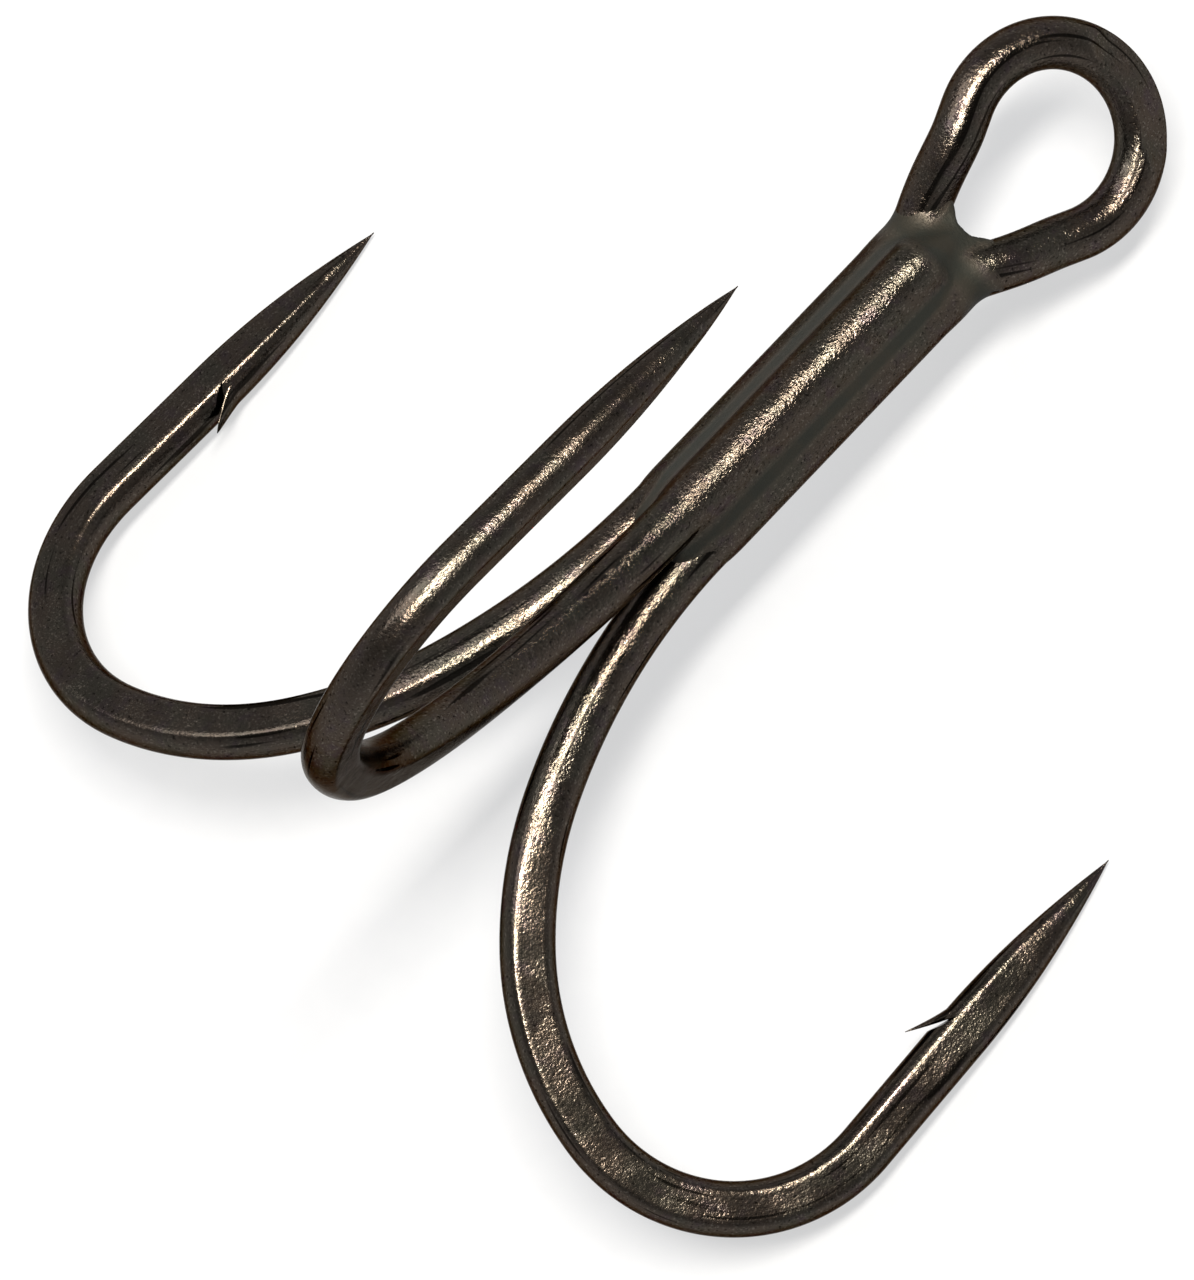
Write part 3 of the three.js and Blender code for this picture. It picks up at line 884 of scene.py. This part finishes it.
def braze_material():
    """The same plating over braze: shiny where it is thin on a wire, matte grey-green in the valleys."""
    n = Nodes("matte_braze")
    place = n.place()
    panel = n.attribute("panel")
    crest, roughness, relief = plating(n, place)
    blotch = n.spread(n.noise(place, BRAZE_BLOTCH_SIZE, 4.0), 0.4, 0.66)
    matte = n.mix(blotch, MATTE_GREY, MATTE_BROWN)
    n.link(n.shader.inputs["Base Color"], n.mix(panel, crest, matte))
    n.link(n.shader.inputs["Metallic"], n.spread(panel, 0.0, 1.0, 1.0, MATTE_METALLIC))
    n.shader.inputs["Specular IOR Level"].default_value = MATTE_SPECULAR
    # Painted shade: the reflections at the braze's edges are tinted dark.
    n.shader.inputs["Specular Tint"].default_value = GRAZING_SHADE_TINT
    matte_roughness = n.spread(panel, 0.0, 1.0, THIN_BRAZE_ROUGHNESS, MATTE_ROUGHNESS)
    n.link(n.shader.inputs["Roughness"], n.math("MAXIMUM", roughness, matte_roughness))
    height = n.math("MULTIPLY", relief, n.spread(panel, 0.0, 1.0, 1.0, MATTE_RELIEF))
    fine = n.bump(height, BRAZE_PIT_DEPTH, 0.7)
    n.link(n.shader.inputs["Normal"], n.bump(n.noise(place, DENT_SIZE, 2.0), DENT_DEPTH, 0.5, fine))
    return n.material


def floor_material():
    """Matte white card with a trace of paper texture."""
    n = Nodes("white_card")
    fibre = n.noise(n.place(), FIBRE_SIZE, 3.0)
    n.link(n.shader.inputs["Base Color"], n.mix(n.spread(fibre, 0.3, 0.7), CARD, CARD_FIBRE))
    n.shader.inputs["Roughness"].default_value = 0.9
    n.shader.inputs["Specular IOR Level"].default_value = 0.1
    n.shader.inputs["Emission Color"].default_value = (1.0, 1.0, 1.0, 1)
    n.shader.inputs["Emission Strength"].default_value = CARD_GLOW
    return n.material


# ---- Pieces ----

def make_pieces():
    wires = {
        "double_hook": (double_hook_stations(), ((LEFT_HOOK, 1), (RIGHT_HOOK, -1))),
        "single_hook": (single_hook_stations(), ((SINGLE_HOOK, 1),)),
    }
    rings = {name: wire_rings(stations) for name, (stations, _) in wires.items()}
    shift = rest_shift([r.reshape(-1, 3) for r in rings.values()])
    press_eye(rings["double_hook"], wires["double_hook"][0])
    steel = plated_wire_material()
    made = []
    for name, (stations, barbs) in wires.items():
        obj = new_mesh_object(name + "_plated", *loft(rings[name]))
        recalculate_normals(obj)
        for hook, side in barbs:
            cut_barb(obj, hook, side)
        points = np.array([v.co for v in obj.data.vertices])
        for label, values in zip(("along", "around", "forged"), wire_coordinates(points, stations)):
            store(obj, label, values)
        shade(obj, WIRE_SHARP_ANGLE)
        obj.data.materials.clear()
        obj.data.materials.append(steel)
        made.append((obj, name, "plated_wire"))
    verts, quads, panel = braze_mesh()
    braze = new_mesh_object("braze_joint_plated", verts, quads)
    store(braze, "panel", panel)
    keep_largest_part(braze)
    shade(braze, BRAZE_SHARP_ANGLE)
    braze.data.materials.append(braze_material())
    made.append((braze, "braze_joint", "braze"))
    for obj, node, slot in made:
        lay(obj, shift)
        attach(obj, "root")
        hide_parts(node)


# ---- Floor, light and camera ----

CAMERA_AT = (-51.205, -143.768, 485.756)  # millimetres
CAMERA_FORWARD = Vector((0.08163, 0.28720, -0.95439))
CAMERA_UP = Vector((0.74291, 0.62081, 0.25036))
CAMERA_RIGHT = CAMERA_FORWARD.cross(CAMERA_UP)
CAMERA_LENS = 271.594
SENSOR = 36.0
FLOOR_HALF_SIZE = 3.0  # metres
FLOOR_POINTS = 8  # along each side
FLOOR_DROP = 0.00005  # metres, keeps the floor clear of the hook's lowest points
LIGHT_AIM = Vector((0, 0, 0.02))  # metres, inside the hook at about half its height
KEY_LEAN = 43.8  # degrees, the key's length lies along the shank as the camera sees it
HORIZON_BRIGHTNESS = 0.8
OVERHEAD_BRIGHTNESS = 0.28
HORIZON_TO_OVERHEAD = (0.1, 0.8)  # the direction's height between which the brightness changes
ROOM_COLOUR = (0.98, 0.99, 1.0, 1)


def add_camera():
    camera = bpy.data.cameras.new("camera")
    camera.lens = CAMERA_LENS
    camera.sensor_width = SENSOR
    camera.clip_start = 0.01
    camera.clip_end = 20
    obj = bpy.data.objects.new("camera", camera)
    bpy.context.scene.collection.objects.link(obj)
    up = CAMERA_UP.normalized()
    back = -CAMERA_FORWARD.normalized()
    right = up.cross(back).normalized()
    turn = Matrix((right, back.cross(right), back)).transposed()
    obj.matrix_world = Matrix.Translation(Vector(CAMERA_AT) * MM) @ turn.to_4x4()
    bpy.context.scene.camera = obj


def add_floor():
    steps = np.linspace(-FLOOR_HALF_SIZE, FLOOR_HALF_SIZE, FLOOR_POINTS)
    verts = [(x, y, 0.0) for x in steps for y in steps]
    faces = []
    for i in range(FLOOR_POINTS - 1):
        for j in range(FLOOR_POINTS - 1):
            a = i * FLOOR_POINTS + j
            faces.append((a, a + FLOOR_POINTS, a + FLOOR_POINTS + 1, a + 1))
    floor = new_mesh_object("floor", verts, faces)
    floor.location.z = -FLOOR_DROP
    floor.data.materials.append(floor_material())


def add_softbox(name, right, up, towards, distance, size, lean, power, colour):
    """A soft light seen from the hook in the direction right, up, towards of the camera's view.
    size is its width and its length; lean is how far its length leans to the right of the view's up."""
    direction = (CAMERA_RIGHT * right + CAMERA_UP * up - CAMERA_FORWARD * towards).normalized()
    light = bpy.data.lights.new(name, "AREA")
    light.shape = "RECTANGLE"
    light.size, light.size_y = size
    light.energy = power
    light.color = colour
    length = CAMERA_UP * math.cos(math.radians(lean)) + CAMERA_RIGHT * math.sin(math.radians(lean))
    across = length.cross(direction).normalized()
    turn = Matrix((across, direction.cross(across), direction)).transposed()
    obj = bpy.data.objects.new(name, light)
    obj.matrix_world = Matrix.Translation(direction * distance + LIGHT_AIM) @ turn.to_4x4()
    bpy.context.scene.collection.objects.link(obj)


def add_world():
    """A pale room that is brighter towards the horizon than overhead."""
    world = bpy.data.worlds.new("pale_room")
    bpy.context.scene.world = world
    world.use_nodes = True
    tree = world.node_tree
    direction = tree.nodes.new("ShaderNodeTexCoord").outputs["Generated"]
    height = tree.nodes.new("ShaderNodeSeparateXYZ")
    tree.links.new(direction, height.inputs[0])
    ramp = tree.nodes.new("ShaderNodeMapRange")
    ramp.interpolation_type = "SMOOTHSTEP"
    ramp.inputs["From Min"].default_value, ramp.inputs["From Max"].default_value = HORIZON_TO_OVERHEAD
    ramp.inputs["To Min"].default_value = HORIZON_BRIGHTNESS
    ramp.inputs["To Max"].default_value = OVERHEAD_BRIGHTNESS
    tree.links.new(height.outputs["Z"], ramp.inputs["Value"])
    background = tree.nodes["Background"]
    background.inputs["Color"].default_value = ROOM_COLOUR
    tree.links.new(ramp.outputs[0], background.inputs["Strength"])


def add_light():
    add_world()
    add_softbox(
        "key", right=-0.077, up=0.28, towards=0.96, distance=0.9,
        size=(0.13, 0.58), lean=KEY_LEAN, power=28.0, colour=(1.0, 0.93, 0.81),
    )
    add_softbox(
        "window", right=-0.75, up=0.55, towards=0.8, distance=1.0,
        size=(0.5, 0.5), lean=0.0, power=4.0, colour=(1.0, 0.98, 0.95),
    )


bpy.context.scene.view_settings.view_transform = "Standard"
make_pieces()
add_floor()
add_light()
add_camera()

bpy.context.view_layer.update()
